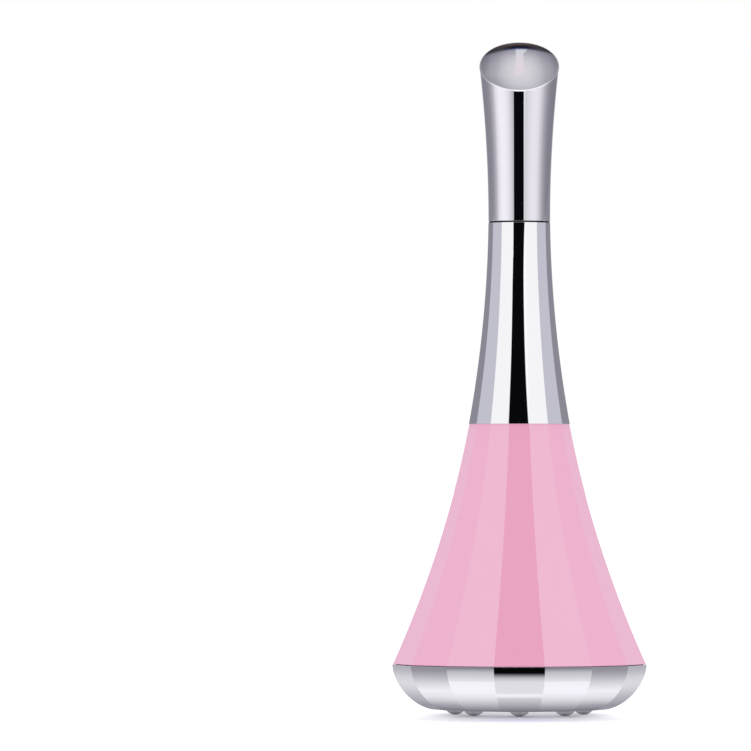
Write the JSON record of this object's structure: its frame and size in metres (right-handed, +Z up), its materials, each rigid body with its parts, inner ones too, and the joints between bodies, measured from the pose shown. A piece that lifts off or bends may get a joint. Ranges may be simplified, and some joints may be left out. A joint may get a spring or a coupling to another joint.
{
  "type": "facial skincare device",
  "caption": "Wand-shaped facial skincare device with a slanted screw cap, a faceted metal neck, a flared pink skirt and a rounded metal base on a ring of beads.",
  "frame": {"origin": "on the device's axis, in the plane of the bead tips that it stands on", "axes": "+Z up along the wand's axis towards the cap, -Y towards the front, where the slanted end of the cap faces"},
  "size_m": [0.062, 0.062, 0.165],
  "materials": {
    "chrome": "polished",
    "pink_abs": "satin moulded",
    "rubber": "matte",
    "bead_steel": "satin",
    "steel": "satin",
    "nickel": "nickel plated",
    "brass": "plain",
    "white_abs": "matte",
    "black_abs": "matte",
    "cell_jacket": "printed film",
    "board": "solder mask",
    "capacitor_can": "sleeved",
    "tungsten": "sintered",
    "lead_red": "sleeved wire",
    "lead_black": "sleeved wire",
    "lead_white": "sleeved wire"
  },
  "bodies": {
    "root": {"cap_seal_ring": "rubber", "battery_tube": "nickel", "tube_spacer": "white_abs", "aaa_cell": "cell_jacket", "cell_spring": "steel", "spring_plate": "nickel", "neck_shell": "chrome", "hand_electrode_leaf": "nickel", "skirt_shell": "pink_abs", "base_gasket": "rubber", "base_shell": "chrome", "bead_1": "bead_steel", "bead_2": "bead_steel", "bead_3": "bead_steel", "bead_4": "bead_steel", "bead_5": "bead_steel", "bead_6": "bead_steel", "bead_7": "bead_steel", "bead_8": "bead_steel", "bead_contact_ring": "brass", "chassis": "white_abs", "chassis_screw_1": "steel", "chassis_screw_2": "steel", "chassis_screw_3": "steel", "chassis_screw_4": "steel", "motor_can": "steel", "motor_endbell": "black_abs", "motor_clamp": "nickel", "clamp_screw_1": "steel", "clamp_screw_2": "steel", "pcb": "board", "control_chip": "black_abs", "inductor": "black_abs", "capacitor_1": "capacitor_can", "capacitor_2": "capacitor_can", "cell_lead": "lead_black", "hand_electrode_lead": "lead_white", "face_electrode_lead": "lead_white", "motor_lead_red": "lead_red", "motor_lead_black": "lead_black"},
    "cap_core": {"cap_contact": "brass", "cap_insulator": "black_abs"},
    "cap": {"cap_shell": "chrome"},
    "rotor": {"motor_shaft": "steel", "eccentric_weight": "tungsten"}
  },
  "joints": [
    {"name": "cap_lift", "type": "slide", "parent": "root", "child": "cap_core", "axis": [0, 0, 1], "range_m": [0, 0.024]},
    {"name": "cap_turn", "type": "hinge", "parent": "cap_core", "child": "cap", "pos_m": [0, 0, 0.1204], "axis": [0, 0, 1], "range_deg": [0, 1440]},
    {"name": "motor_spin", "type": "hinge", "parent": "root", "child": "rotor", "pos_m": [-0.003, -0.0095, 0.0214], "axis": [1, 0, 0], "continuous": true}
  ],
  "couplings": [
    {"joint": "cap_lift", "follows": "cap_turn", "m_per_rad": 0.00095493}
  ]
}
